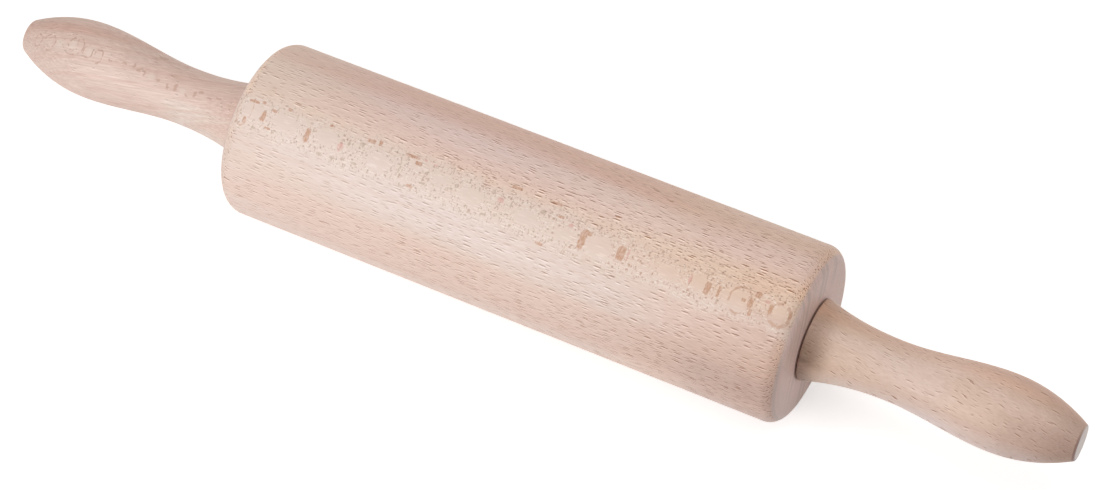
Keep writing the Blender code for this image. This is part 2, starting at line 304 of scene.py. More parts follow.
def from_middle(tree, place, along, around, half_length, half_width):
    """The place seen from a fleck's middle, in units of the fleck's halves."""
    inverse = (1 / half_length, 1 / half_width, 0)
    shift = (-along / half_length, -around / half_width, 0)
    return vector_maths(tree, "MULTIPLY_ADD", place, inverse, shift)


def oval_reach(tree, place, *oval):
    """How far the place is from an oval's middle: 1 on its outline."""
    return length_of(tree, from_middle(tree, place, *oval))


def bar_reach(tree, place, *bar):
    """The same for a bar with rounded corners, squared."""
    away = from_middle(tree, place, *bar)
    return length_of(tree, vector_maths(tree, "MULTIPLY", away, away))


def fleck_group(tree, place, flecks, soft=0.3, reach_of=oval_reach):
    """A mask of flecks, each of them (along, round, half length, half width)."""
    nearest = least_of(tree, (reach_of(tree, place, *fleck) for fleck in flecks))
    return fade(tree, nearest, 1 + soft, 1 - soft)


def off_outline(tree, place, *oval, line):
    """How far the place is from an oval's outline, in units of the line's share."""
    off = maths(tree, "ABSOLUTE", maths(tree, "SUBTRACT", oval_reach(tree, place, *oval), 1))
    return maths(tree, "DIVIDE", off, line)


def ring_group(tree, place, rings):
    """A mask of oval outlines, each (along, round, half length, half width, line share)."""
    nearest = least_of(tree, (off_outline(tree, place, *oval, line=line) for *oval, line in rings))
    return fade(tree, nearest, *RING_SOFTNESS)


# The roller's marks where the photograph has them: flecks and smooth ovals, each (along, round, half length,
# half width), and outlines, which have the share of their line at the end
ROLLER_BROWN = (
    (-109.6, 4.3, 2.1, 0.5),
    (-105.8, 5.1, 0.9, 0.6),
    (-103.9, 0.2, 0.9, 2.1),
    (-110.8, -3.7, 0.6, 1.2),
    (-100.6, 3.6, 1.1, 0.6),
    (-94.9, 6.2, 0.9, 0.5),
    (-100.6, -3.6, 1.2, 0.5),
    (-84.6, -0.5, 0.9, 2.8),
    (-59.8, 6.2, 1.7, 0.8),
    (-76.6, 6.2, 1.1, 0.5),
    (-42.2, 6.4, 3.0, 0.6),
    (-38.9, 4.6, 1.4, 0.7),
    (-39.0, -4.6, 1.4, 0.6),
    (-56.1, 6.6, 0.7, 1.1),
    (20.5, 5.2, 1.2, 0.6),
    (32.3, 3.2, 1.9, 0.9),
    (31.5, -0.4, 1.3, 3.0),
    (47.1, 0.5, 1.6, 2.8),
    (17.0, 9.3, 2.2, 0.5),
    (0.4, 9.5, 2.1, 0.6),
    (16.3, -7.0, 1.5, 0.5),
    (82.4, 0.2, 1.2, 2.4),
    (86.8, 0.5, 0.6, 2.1),
    (101.2, 4.5, 1.1, 1.2),
    (96.6, 0.9, 0.8, 0.6),
    (99.3, 0.5, 0.9, 1.7),
    (100.3, -2.6, 0.7, 1.3),
    (107.2, 1.2, 0.8, 1.8),
    (114.6, 1.6, 0.5, 1.8),
)
ROLLER_PINK = (
    (-70.5, -0.2, 1.1, 1.7),
    (-36.8, 6.6, 0.8, 0.5),
    (-32.6, 6.2, 0.8, 0.5),
    (-3.6, 2.8, 1.2, 1.1),
    (25.4, 3.6, 1.0, 0.8),
    (49.9, 0.9, 0.4, 2.3),
    (75.2, 1.2, 0.6, 1.8),
    (105.2, 3.4, 1.2, 0.5),
)
ROLLER_GREY = (
    (-106.1, -5.3, 1.0, 0.5),
    (-67.5, 2.5, 0.5, 1.4),
    (-62.4, 3.6, 1.1, 0.9),
    (-62.9, -4.2, 1.4, 0.6),
    (-71.8, -5.1, 0.8, 0.6),
    (-77.4, -5.6, 1.3, 0.6),
    (-34.4, 2.1, 0.7, 0.6),
    (-34.5, -1.8, 1.0, 0.5),
    (-45.3, -0.6, 0.4, 1.1),
    (-21.6, 1.8, 0.7, 0.9),
    (-7.4, 4.9, 0.8, 1.0),
    (-7.7, -4.3, 1.0, 0.5),
    (-3.6, -3.0, 0.9, 0.6),
    (1.0, 3.0, 0.4, 1.6),
    (13.6, 4.4, 1.1, 0.8),
    (20.2, -4.2, 0.9, 0.5),
    (87.5, -2.8, 0.5, 0.4),
)
ROLLER_RINGS = (
    (111.0, 0.3, 3.9, 4.2, 0.16),
    (95.3, 0.2, 4.2, 5.0, 0.1),
    (-112.0, 0.6, 3.0, 6.8, 0.05),
)
ROLLER_OVALS = (
    (38.4, -0.6, 5.2, 4.6),
    (93.5, -0.4, 5.4, 4.4),
    (111.0, 0.3, 2.8, 3.0),
    (78.6, 1.0, 2.6, 3.4),
    (66.0, 0.5, 4.0, 2.6),
    (-108.6, 1.0, 3.6, 3.6),
    (-95.0, 0.8, 5.0, 3.0),
    (-77.0, 1.5, 4.4, 3.6),
    (-54.0, -0.5, 4.8, 3.6),
    (-28.0, 3.0, 4.2, 2.6),
    (-15.0, 0.0, 4.6, 3.4),
    (8.0, 0.2, 4.8, 2.8),
    (24.0, -0.6, 4.0, 2.6),
)

# The roller's band of rays, with the sizes of its noises and cells
BAND_FRONT = (ACROSS, 20, 30)
BAND_EDGE_SIZE = (9, 30, 30)
BAND_HALF_WIDTH = (5.5, 9.0)
BAND_SOFTNESS = (1.3, 0.6)
BAND_SHARE = 0.6
BAND_SMOOTHING = 0.8
BAND_TAN = ((ALONG, 10, 80), (RAYWISE, -5, 2))
BAND_GRIT = (ALONG, -10, 60)
OVAL_SOFTNESS = 0.15
WOBBLE_SIZE = (1.6, 1.6, 1.6)
ROLLER_WOBBLE = (1, 1, 0)
SCRATCH_SIZE = (0.55, 1.5, 1.5)
SCRATCH_LIMITS = (0.58, 0.70)
SCRATCH_SHARE = 0.7
# Pale specks of painted sheen on the band
PAINTED_SHEEN_SIZE = (1.5, 0.5, 0.5)
PAINTED_SHEEN_LIMITS = (0.56, 0.68)
PAINTED_SHEEN_SHARE = 0.6
DOT_BOX = (2.5, 1.9, 2.2)
DOT_REACH = (0.29, 0.09)
DOT_SHARE = 0.72
HATCHING_SIZE = (0.5, 1.6, 1.6)
HATCHING_LIMITS = (0.35, 0.6)
HATCHING_STRENGTH = (0.45, 1.0)
# Each group of flecks with its tint, its share and the form of its flecks
ROLLER_FLECKS = (
    (ROLLER_GREY, "grey_fleck", 0.75, oval_reach),
    (ROLLER_PINK, "pink_fleck", 0.7, oval_reach),
    (ROLLER_BROWN, "brown_fleck", 1.0, bar_reach),
)
RING_BREAK_SIZE = (2.6, 2.6, 2.6)
RING_BREAK_LIMITS = (0.37, 0.55)
RING_SHARE = 0.65
CRUMB_BOX = (1.9, 0.85, 0.7)
CRUMB_REACH = (0.3, 0.18)
CRUMB_ZONE = ((ALONG, -90, -10), (RAYWISE, 2.5, 5), (RAYWISE, 17, 10), BAND_FRONT)
CRUMB_SHARE = 0.5


def roller_band(tree, place, parts, rays, colour, look):
    """The strip where the rays lie in the roller's surface, and show as pale ovals and brown flecks.

    Gives the rays and the colour with the strip, and the rays' relief.
    """
    front = zone(tree, parts, BAND_FRONT)
    edge = noise(tree, place, BAND_EDGE_SIZE, seed=41)
    width = spread(tree, edge, *NOISE_MIDDLE, *BAND_HALF_WIDTH)
    off_middle = maths(tree, "DIVIDE", maths(tree, "ABSOLUTE", parts[RAYWISE]), width)
    strip = fade(tree, off_middle, *BAND_SOFTNESS)
    band = maths(tree, "MULTIPLY", strip, front)
    cream = mix(tree, zone(tree, parts, *BAND_TAN), look["cream"], look["tan"])
    colour = laid_on(tree, colour, cream, strip, BAND_SHARE)

    marked = wandering(tree, place, WOBBLE_SIZE, ROLLER_WOBBLE, seed=42)
    smooth = fleck_group(tree, marked, ROLLER_OVALS, OVAL_SOFTNESS)
    rough_part = without(tree, band, smooth)
    scratches = fade(tree, noise(tree, marked, SCRATCH_SIZE, seed=43, detail=1.0), *SCRATCH_LIMITS)
    grit = mix(tree, zone(tree, parts, BAND_GRIT), look["grey_grit"], look["brown_grit"])
    colour = laid_on(tree, colour, grit, scratches, rough_part, SCRATCH_SHARE)
    # Pale specks of painted sheen on the band's rough part
    painted_sheen = fade(tree, noise(tree, place, PAINTED_SHEEN_SIZE, seed=48, detail=1.0), *PAINTED_SHEEN_LIMITS)
    colour = laid_on(tree, colour, look["pale_fleck"], painted_sheen, rough_part, PAINTED_SHEEN_SHARE)
    dots = fade(tree, cells(tree, marked, DOT_BOX, seed=44)[0], *DOT_REACH)
    colour = laid_on(tree, colour, grit, dots, rough_part, DOT_SHARE)

    hatching = noise(tree, place, HATCHING_SIZE, seed=47, detail=1.0)
    hatching = spread(tree, hatching, *HATCHING_LIMITS, *HATCHING_STRENGTH)
    hatched = maths(tree, "MULTIPLY", front, hatching)
    for flecks, tint, share, reach_of in ROLLER_FLECKS:
        mask = fleck_group(tree, marked, flecks, reach_of=reach_of)
        colour = laid_on(tree, colour, look[tint], mask, hatched, share)
    breaks = fade(tree, noise(tree, place, RING_BREAK_SIZE, seed=45, detail=1.0), *RING_BREAK_LIMITS)
    outlines = ring_group(tree, marked, ROLLER_RINGS)
    colour = laid_on(tree, colour, look["brown_fleck"], outlines, front, breaks, RING_SHARE)

    crumbs = fade(tree, cells(tree, place, CRUMB_BOX, seed=46)[0], *CRUMB_REACH)
    crumbs = maths(tree, "MULTIPLY", crumbs, zone(tree, parts, *CRUMB_ZONE))
    colour = laid_on(tree, colour, look["ray"], crumbs, CRUMB_SHARE, blend="MULTIPLY")

    relief = without(tree, rays, maths(tree, "MULTIPLY", band, BAND_SMOOTHING))
    rays = without(tree, relief, maths(tree, "MULTIPLY", smooth, front))
    return rays, colour, relief


# ---- beech: the marks on a handle
HANDLE_FRONT = (ACROSS, 2, 5)
HANDLE_WOBBLE = (1.5, 1.5, 0)
HANDLE_BREAK_SIZE = (1.5, 1.5, 1.5)
HANDLE_BREAK_LIMITS = (0.4, 0.56)
PALE_SOFTNESS, PALE_SHARE = 0.6, 0.5
BAR_SOFTNESS, BAR_SHARE = 0.5, 0.6
OUTLINE_SHARE = 0.75


def handle_marks(tree, place, parts, colour, look):
    """Flecks and faint oval outlines where the rays lie in a handle's surface."""
    marked = wandering(tree, place, WOBBLE_SIZE, HANDLE_WOBBLE, seed=52)
    front = zone(tree, parts, HANDLE_FRONT)
    bars, rings, pale = look["marks"]
    breaks = fade(tree, noise(tree, place, HANDLE_BREAK_SIZE, seed=53, detail=1.0), *HANDLE_BREAK_LIMITS)
    outlines = maths(tree, "MULTIPLY", ring_group(tree, marked, rings), breaks)
    for mask, tint, share in (
        (fleck_group(tree, marked, pale, PALE_SOFTNESS), "cream", PALE_SHARE),
        (fleck_group(tree, marked, bars, BAR_SOFTNESS, bar_reach), "brown_fleck", BAR_SHARE),
        (outlines, "brown_fleck", OUTLINE_SHARE),
    ):
        colour = laid_on(tree, colour, look[tint], mask, front, share)
    return colour


# ---- beech: end grain
END_SPECK_SIZE = (0.5, 0.35, 0.35)
END_SPECK_LIMITS = (0.35, 0.7)
END_LINES = (0, 0.21, -0.235)
END_LINE_LIMITS = (0.46, 0.6)
END_LATE_SHARE = 0.25
END_RAY_SHARE = 0.62
END_CORNER_SHADE = ((FACING, 1.0, 0.8, 0, 1.2), (RAYWISE, -4, -22))
END_LOW_SHADE = (RAYWISE, -14, -26, 0, 0.45)
# Painted light on the roller's end face, above the neck and in a ring round it, where the neck's shade falls
PAINTED_LIGHT_ZONE = ((RAYWISE, 6, 13), (ACROSS, 10, 0))
PAINTED_LIGHT_RIM = ((OFF_AXLE, 20.5, 17.5), (ACROSS, 5, 12))
PAINTED_LIGHT_LINES = 0.15


def end_grain(tree, place, bent, parts, late, look):
    """The colour of an end face: pores, the lines of rays and rings, and a shade towards its lower edge."""
    specks = noise(tree, place, END_SPECK_SIZE, look["seed"] + 6, detail=1.0)
    colour = mix(tree, fade(tree, specks, *END_SPECK_LIMITS), look["end"], look["end_pore"])
    across = node(tree, "VectorMath", {0: bent, 1: END_LINES}, operation="DOT_PRODUCT").outputs["Value"]
    moved = maths(tree, "ADD", across, look["seed"])
    line_inputs = {"W": moved, "Scale": 1.0, "Detail": 2.5, "Roughness": 0.6}
    lines = node(tree, "TexNoise", line_inputs, noise_dimensions="1D").outputs[0]
    end_rays = maths(tree, "MULTIPLY", fade(tree, lines, *END_LINE_LIMITS), END_RAY_SHARE)
    marks = maths(tree, "MAXIMUM", maths(tree, "MULTIPLY", late, END_LATE_SHARE), end_rays)
    shade = zone(tree, parts, *END_CORNER_SHADE)
    shade = maths(tree, "MAXIMUM", shade, zone(tree, parts, END_LOW_SHADE))
    marks = maths(tree, "MAXIMUM", marks, shade)
    if look["band"]:
        # Painted light: the end face's dark lines fade out above the neck and round it
        clear = maths(tree, "MAXIMUM", zone(tree, parts, *PAINTED_LIGHT_ZONE), zone(tree, parts, *PAINTED_LIGHT_RIM))
        marks = maths(tree, "MULTIPLY", marks, fade(tree, clear, 0, 1, 1, PAINTED_LIGHT_LINES))
    return mix(tree, marks, colour, look["end_late"])


# ---- beech: all of it
TONE_SIZE = (110, 17, 17)
YEAR_RING_SIZE = (420, 2.3, 60)
LATE_WOOD_LIMITS = (0.50, 0.64)
CORNER_ZONE = ((FACING, 0.15, 0.6), (RAYWISE, -26, -6))
FIBRE_DEPTH_ENDS = (-80, 60)
# Where the painted highlights are weaker: below the band, on the roller's left half
CALM_ZONE = ((RAYWISE, -4, -9), (RAYWISE, -26, -20), (ALONG, 0, -25))
CALM_PAINTED_HIGHLIGHTS = 0.66
RAY_DEPTH_ENDS = (-80, 90)
RAY_SIDES = (RAYWISE, -6, 6)
RAY_BELOW = (RAYWISE, -20, -28)
RAY_CORNER = (FACING, 0.05, 0.45)
END_FACING = (FACING, 0.7, 0.84)
# Painted shade on the end face inside the neck's radius, seen through the gap
PAINTED_GAP_SHADE_RADIUS = (OFF_AXLE, 16.2, 15.9)
PAINTED_GAP_SHADE_SHARE = 0.4
RIM_ZONE = ((ALONG, 223.0, 223.4), (OFF_AXLE, 6.0, 6.4), (ACROSS, 6, -2))
FIBRE_HEIGHT = 0.55
WOOD_BUMP_DISTANCE = 0.00022
WOOD_ROUGHNESS = (0.54, 0.42)
WOOD_SPECULAR = 0.5


def beech(name, look):
    """Solid beech: tone, growth rings, fibres, rays and end grain, with roughness and bump from the same, and
    painted light and shade in its colour.
    """
    material, tree, shader = new_material(name)
    seed = look["seed"]
    place = grain_place(tree, look["turn"], look["slope"], look["droop"])
    bent = wandering(tree, place, *look["wander"], seed)
    tone = noise(tree, place, TONE_SIZE, seed + 1, detail=1.5)
    colour = mix(tree, fade(tree, tone, *NOISE_MIDDLE), look["cool"], look["warm"])

    body = grain_place(tree, look["turn"])
    off_axle = length_of(tree, vector_maths(tree, "MULTIPLY", body, (0, 1, 1)))
    normal = node(tree, "TexCoord").outputs["Normal"]
    facing = maths(tree, "ABSOLUTE", split(tree, normal)[0])
    parts = (*split(tree, body), off_axle, facing)
    colour = toned(tree, split(tree, place), colour, look["tones"])
    colour = toned(tree, parts, colour, look["tones_and_painted_light"])

    rings = noise(tree, bent, YEAR_RING_SIZE, seed + 2, detail=2.5, roughness=0.6)
    late = fade(tree, rings, *LATE_WOOD_LIMITS)
    colour = laid_on(tree, colour, look["late"], late, look["rings"])
    colour = mix(tree, zone(tree, parts, *CORNER_ZONE), colour, look["corner"], "MULTIPLY")
    fibres = noise(tree, bent, look["fibre"], seed + 3, detail=3, roughness=0.6)
    fibre_tint = mix(tree, spread(tree, fibres, *NOISE_MIDDLE), look["dark_fibre"], look["light_fibre"])
    strength = spread(tree, parts[ALONG], *FIBRE_DEPTH_ENDS, *look["fibre_depth"])
    colour = mix(tree, strength, colour, fibre_tint, "MULTIPLY")

    rays = all_rays(tree, bent, look)
    # Painted highlights: a lighter copy of the rays, a little further round, for the light their relief would
    # catch
    painted_highlights = all_rays(tree, beside(tree, bent, body, look["painted_highlight_share"]), look)
    if look["band"]:
        calm = zone(tree, parts, *CALM_ZONE)
        painted_highlights = maths(tree, "MULTIPLY", painted_highlights, fade(tree, calm, 0, 1, 1, CALM_PAINTED_HIGHLIGHTS))
    colour = laid_on(tree, colour, look["painted_highlight"], painted_highlights, look["painted_highlight_depth"], blend="MULTIPLY")
    relief = rays
    if look["band"]:
        rays, colour, relief = roller_band(tree, body, parts, rays, colour, look)
    depth = spread(tree, parts[ALONG], *RAY_DEPTH_ENDS, *look["ray_depth"])
    depth = maths(tree, "MULTIPLY", depth, zone(tree, parts, (*RAY_SIDES, *look["ray_sides"])))
    depth = maths(tree, "MULTIPLY", depth, zone(tree, parts, (*RAY_BELOW, 1, look["ray_below"])))
    depth = maths(tree, "MULTIPLY", depth, zone(tree, parts, (*RAY_CORNER, 1, look["corner_rays"])))
    colour = laid_on(tree, colour, look["ray"], rays, depth, blend="MULTIPLY")
    if look["marks"]:
        colour = handle_marks(tree, body, parts, colour, look)

    end = zone(tree, parts, END_FACING)
    colour = laid_on(tree, colour, end_grain(tree, place, bent, parts, late, look), end, look["end_share"])
    if look["band"]:
        # Painted shade: the end face behind the neck is darkened, for the shade in the gap
        painted_gap_shade = zone(tree, parts, PAINTED_GAP_SHADE_RADIUS)
        colour = laid_on(tree, colour, look["painted_gap_shade"], painted_gap_shade, end, PAINTED_GAP_SHADE_SHARE)
    if look["rim"]:
        colour = mix(tree, zone(tree, parts, *RIM_ZONE), colour, look["rim"], "MULTIPLY")

    height = maths(tree, "SUBTRACT", maths(tree, "MULTIPLY", fibres, FIBRE_HEIGHT), relief)
    bump = {"Height": height, "Strength": look["bump"], "Distance": WOOD_BUMP_DISTANCE}
    surface = {
        "Base Color": colour,
        "Roughness": spread(tree, fibres, *NOISE_MIDDLE, *WOOD_ROUGHNESS),
        "Normal": node(tree, "Bump", bump).outputs[0],
        "Specular IOR Level": WOOD_SPECULAR,
    }
    feed(tree, shader, surface)
    return material


# ---- beech: the look of each piece
# A tone is its tint, where it starts and ends along the wood, and the step along another axis. The step of
# ALL_ROUND lies below all of the wood. A handle's look says what differs from the roller's.
# Some tones are the wood's own, and many are painted light and shade.
BAND_TURN = math.radians(-32)
ALL_ROUND = (RAYWISE, -40, -39)

ROLLER_LOOK = {
    "seed": 1.0,
    "turn": BAND_TURN,
    "slope": 0.0,
    "droop": 0.0,
    "band": True,
    "marks": (),
    "rim": None,
    "cool": srgb(238, 215, 205),
    "warm": srgb(236, 209, 195),
    "late": srgb(222, 187, 171),
    "rings": 0.2,
    "dark_fibre": (0.87, 0.82, 0.78, 1),
    "light_fibre": (1.08, 1.11, 1.13, 1),
    "fibre_depth": (0.5, 0.8),
    "tones": (),
    # Round the roller some tones are the wood's own, and many are painted light and shade: darker towards the
    # lower right, where less light falls, and paler top and bottom edges for a painted sheen and bounce from
    # the floor
    "tones_and_painted_light": (
        ((1.0, 0.95, 1.02, 1), (-110, -60), (RAYWISE, 2, 16)),
        ((1.0, 0.97, 0.88, 1), (-30, 100), (RAYWISE, 2, 12)),
        ((1.0, 0.96, 0.88, 1), (-119, -118), (RAYWISE, 22, 33)),
        ((0.84, 0.8, 0.78, 1), (20, 118), (RAYWISE, 14, -24)),
        ((0.98, 0.93, 0.89, 1), (50, 118), (RAYWISE, 24, 8)),
        ((1.05, 1.08, 1.03, 1), (119, 118), (RAYWISE, 3, 9)),
        ((0.95, 0.86, 0.84, 1), (90, 40), (RAYWISE, 21, 27)),
        ((1.0, 1.0, 1.05, 1), (60, 90), (RAYWISE, 10, 18)),
        ((1.0, 0.95, 0.9, 1), (20, 80), (RAYWISE, -7, -2)),
        ((1.0, 1.053, 1.11, 1), (20, 80), (RAYWISE, 5, 10)),
        ((0.92, 0.93, 0.97, 1), (72, 88), (RAYWISE, -20, -27)),
        ((0.96, 1.0, 1.02, 1), (75, 45), (RAYWISE, -2, -8)),
        ((1.04, 1.0, 0.98, 1), (75, 45), (RAYWISE, -18, -24)),
        ((1.0, 1.01, 1.05, 1), (-75, -100), (RAYWISE, 5, 12)),
        ((0.85, 0.75, 0.7, 1), (96, 103), (RAYWISE, 1, -1.5)),
        ((1.17, 1.32, 1.42, 1), (96, 103), (RAYWISE, -3, -6)),
        ((1.01, 1.03, 1.08, 1), (-60, -84), (RAYWISE, 27, 31)),
        ((1.015, 1.04, 1.07, 1), (60, 82), (RAYWISE, -31, -33.5)),
        ((1.08, 1.08, 1.06, 1), (40, 60), (RAYWISE, -30.5, -33)),
    ),
    "wander": ((55, 16, 16), (0, 1.6, 1.6)),
    "corner": (1.16, 1.14, 1.1, 1),
    "corner_rays": 1.7,
    "fibre": (4.5, 0.45, 0.45),
    "cream": srgb(238, 219, 208),
    "tan": srgb(238, 212, 192),
    # The colour of the painted sheen's specks on the band
    "pale_fleck": srgb(253, 240, 230),
    "ray": (0.36, 0.15, 0.02, 1),
    "ray_depth": (0.72, 1.05),
    "ray_sides": (0.75, 1.0),
    "ray_below": 1.7,
    # The painted highlight beside each mark: its tint, its strength and how far round it lies
    "painted_highlight": (1.27, 1.36, 1.44, 1),
    "painted_highlight_depth": 1.0,
    "painted_highlight_share": 0.0125,
    "grey_fleck": srgb(196, 170, 148),
    "pink_fleck": srgb(222, 165, 152),
    "brown_fleck": srgb(205, 158, 130),
    "grey_grit": srgb(188, 156, 134),
    "brown_grit": srgb(190, 143, 114),
    "coarse": (6.4, 1.15, 0.4),
    "coarse_reach": 0.33,
    "fine": (4.5, 0.85, 0.32),
    "fine_reach": 0.32,
    "end_share": 0.85,
    "end": srgb(253, 223, 214),
    "end_pore": srgb(240, 208, 198),
    "end_late": srgb(206, 184, 177),
    # The colour of the painted shade in the gap at the neck
    "painted_gap_shade": srgb(96, 72, 58),
    "bump": 0.1,
}

HANDLE_LOOK = {
    **ROLLER_LOOK,
    "band": False,
    "corner": (1, 1, 1, 1),
    "corner_rays": 0.8,
    "ray_sides": (1.0, 1.0),
    "ray_below": 1.0,
    "painted_highlight_share": 0.032,
    "end_share": 1.0,
    "bump": 0.08,
}

# The left handle's marks, written in the same way
LEFT_BARS = (
    (-152.3, -1.2, 0.7, 1.6),
    (-155.8, -2.0, 0.4, 1.1),
    (-160.3, -1.0, 1.1, 0.6),
    (-166.6, -0.6, 0.5, 1.2),
    (-169.0, -0.2, 0.8, 0.7),
    (-171.4, 0.8, 0.4, 1.0),
    (-175.3, 0.1, 0.9, 0.5),
    (-147.0, -2.6, 0.6, 0.5),
    (-143.6, -0.8, 0.7, 1.1),
    (-141.4, 0.6, 1.0, 0.5),
    (-137.0, -0.6, 0.9, 0.4),
    (-133.2, 0.4, 1.1, 0.4),
    (-181.0, -1.2, 0.8, 0.4),
    (-163.6, 8.7, 1.8, 0.7),
)
LEFT_RINGS = (
    (-198.2, -0.5, 1.9, 2.7, 0.16),
    (-198.2, -0.5, 4.6, 4.2, 0.07),
    (-209.0, -2.6, 2.6, 3.2, 0.1),
    (-191.0, -1.2, 2.0, 2.6, 0.12),
    (-186.4, -1.6, 1.7, 2.8, 0.14),
    (-214.6, -3.0, 1.8, 2.4, 0.12),
)
LEFT_PALE = (
    (-198.2, -0.5, 1.4, 2.0),
    (-190.0, -1.2, 1.6, 2.0),
    (-204.0, -2.0, 2.0, 1.6),
    (-163.4, -0.6, 1.6, 1.2),
    (-149.4, -1.4, 1.6, 1.2),
)

LEFT_LOOK = {
    **HANDLE_LOOK,
    "seed": 9.0,
    "marks": (LEFT_BARS, LEFT_RINGS, LEFT_PALE),
    "turn": BAND_TURN + math.radians(8),
    "slope": math.radians(-11),
    "warm": srgb(234, 205, 192),
    "cool": srgb(237, 215, 205),
    "late": srgb(218, 176, 160),
    "rings": 0.3,
    "fibre": (12.0, 0.6, 0.6),
    "dark_fibre": (0.82, 0.76, 0.72, 1),
    "light_fibre": (1.07, 1.1, 1.12, 1),
    "fibre_depth": (0.85, 0.85),
    "tones": (
        ((0.98, 0.95, 0.94, 1), (-240, -230), ALL_ROUND),
        ((0.94, 0.85, 0.82, 1), (-228, -205), (RAYWISE, 42.2, 43.2)),
        ((1.05, 1.1, 1.12, 1), (-228, -205), (RAYWISE, 46.4, 47.6)),
    ),
    "tones_and_painted_light": (
        ((1.0, 1.07, 1.075, 1), (-160, -148), (RAYWISE, -4, -7)),
        ((0.968, 0.952, 0.942, 1), (-150, -160), (RAYWISE, -2, -5)),
        ((1.03, 1.025, 1.01, 1), (-172, -180), (RAYWISE, -4, -1)),
    ),
    "ray": (0.3, 0.2, 0.1, 1),
    "brown_fleck": srgb(200, 160, 140),
    "ray_depth": (0.35, 0.35),
    "painted_highlight_depth": 0.5,
    "coarse": (4.0, 2.5, 0.8),
    "coarse_reach": 0.22,
    "fine": (3.0, 1.6, 0.5),
    "fine_reach": 0.2,
}

RIGHT_LOOK = {
    **HANDLE_LOOK,
    "seed": 17.0,
    "turn": BAND_TURN + math.radians(95),
    "droop": math.radians(-7),
    "wander": ((12, 9, 9), (0, 2.8, 2.8)),
    "warm": srgb(229, 199, 180),
    "cool": srgb(228, 202, 187),
    "late": srgb(216, 180, 158),
    "rings": 0.15,
    # Along the right handle many tones are painted light and shade: a painted shadow of the roller on the
    # neck's lower side, painted bounce from the floor along the underside, and painted shade towards the tip
    "tones_and_painted_light": (
        ((0.9, 0.86, 0.85, 1), (190, 212), (ACROSS, 4, -6)),
        ((0.8, 0.76, 0.74, 1), (208, 222), (ACROSS, 10, -4)),
        ((0.98, 0.94, 0.86, 1), (170, 110), ALL_ROUND),
        ((0.53, 0.48, 0.44, 1), (131, 122), (ACROSS, 2, -8)),
        ((1.5, 1.55, 1.58, 1), (131, 122), (ACROSS, -10.5, -13)),
        ((1.06, 1.11, 1.2, 1), (125, 138), (ACROSS, -8, -13)),
        ((0.97, 0.95, 0.93, 1), (176, 192), (ACROSS, -7, -12)),
        ((1.0, 1.01, 1.04, 1), (180, 168), (ACROSS, 7, 1)),
        ((0.988, 0.962, 0.953, 1), (172, 186), ALL_ROUND),
        ((0.72, 0.67, 0.68, 1), (125, 120), (ACROSS, -9, -11)),
        ((0.78, 0.72, 0.68, 1), (130, 120.5), (ACROSS, -6, 0)),
        ((1.15, 1.2, 1.22, 1), (130, 120.5), (ACROSS, 5, 9)),
        ((1.09, 0.99, 0.95, 1), (118, 119), (ACROSS, 3, 10)),
        ((0.92, 0.92, 0.92, 1), (188, 200), (ACROSS, 0, -6)),
        ((1.03, 1.06, 1.09, 1), (118, 119), (ACROSS, -10.5, -13.5)),
    ),
    # The tip's end grain is paler than the roller's: partly its own colour, partly painted light on the flat
    "end": srgb(255, 238, 231),
    "end_pore": srgb(250, 230, 222),
    "end_late": srgb(236, 222, 216),
    "rim": (0.6, 0.52, 0.54, 1),
    "fibre_depth": (0.7, 0.7),
    "ray_depth": (0.74, 0.74),
    "painted_highlight_depth": 0.7,
    "coarse": (8.0, 6.0, 0.8),
    "coarse_reach": 0.25,
    "fine": (4.5, 6.0, 0.6),
    "fine_reach": 0.25,
}


# ---- metals and nylon
ROUND_LINES = (0.08, 6, 6)
DRAWN_LINES = (14, 0.12, 0.12)
PLATED_GRAIN = (0.5, 0.5, 0.5)
METAL_MOTTLE_SIZE = (2.5, 2.5, 2.5)
METAL_MOTTLE = (0.88, 1.04)
METAL_ROUGHNESS_REACH = 0.22
METAL_BUMP = {"Strength": 0.25, "Distance": 0.00003}
NYLON_MOTTLE_SIZE = (1.8, 1.8, 1.8)
NYLON_GRAIN_SIZE = (0.15, 0.15, 0.15)
NYLON_PALE = srgb(226, 222, 208)
NYLON_ROUGHNESS = (0.38, 0.55)
NYLON_BUMP = {"Strength": 0.2, "Distance": 0.00002}


def metal(name, colour, roughness, lines, seed):
    """Turned, ground or drawn metal: fine lines round the axle or along it, and a mottled finish."""
    material, tree, shader = new_material(name)
    place = grain_place(tree, 0)
    marks = noise(tree, place, lines, seed, detail=3, roughness=0.6)
    mottle = spread(tree, noise(tree, place, METAL_MOTTLE_SIZE, seed + 1), *NOISE_MIDDLE, *METAL_MOTTLE)
    tint = node(tree, "CombineColor", dict.fromkeys((0, 1, 2), mottle)).outputs[0]
    least_rough = roughness - METAL_ROUGHNESS_REACH / 2
    surface = {
        "Base Color": mix(tree, 1.0, colour, tint, "MULTIPLY"),
        "Roughness": maths(tree, "MULTIPLY_ADD", marks, METAL_ROUGHNESS_REACH, least_rough),
        "Normal": node(tree, "Bump", {"Height": marks, **METAL_BUMP}).outputs[0],
        "Metallic": 1.0,
    }
    feed(tree, shader, surface)
    return material


def nylon(name, colour):
    """Moulded natural nylon: faint mottle and a fine satin grain."""
    material, tree, shader = new_material(name)
    place = grain_place(tree, 0)
    mottle = noise(tree, place, NYLON_MOTTLE_SIZE, seed=3)
    grain = noise(tree, place, NYLON_GRAIN_SIZE, seed=4, detail=1)
    surface = {
        "Base Color": mix(tree, fade(tree, mottle, *NOISE_MIDDLE), colour, NYLON_PALE),
        "Roughness": spread(tree, grain, *NOISE_MIDDLE, *NYLON_ROUGHNESS),
        "Normal": node(tree, "Bump", {"Height": grain, **NYLON_BUMP}).outputs[0],
    }
    feed(tree, shader, surface)
    return material


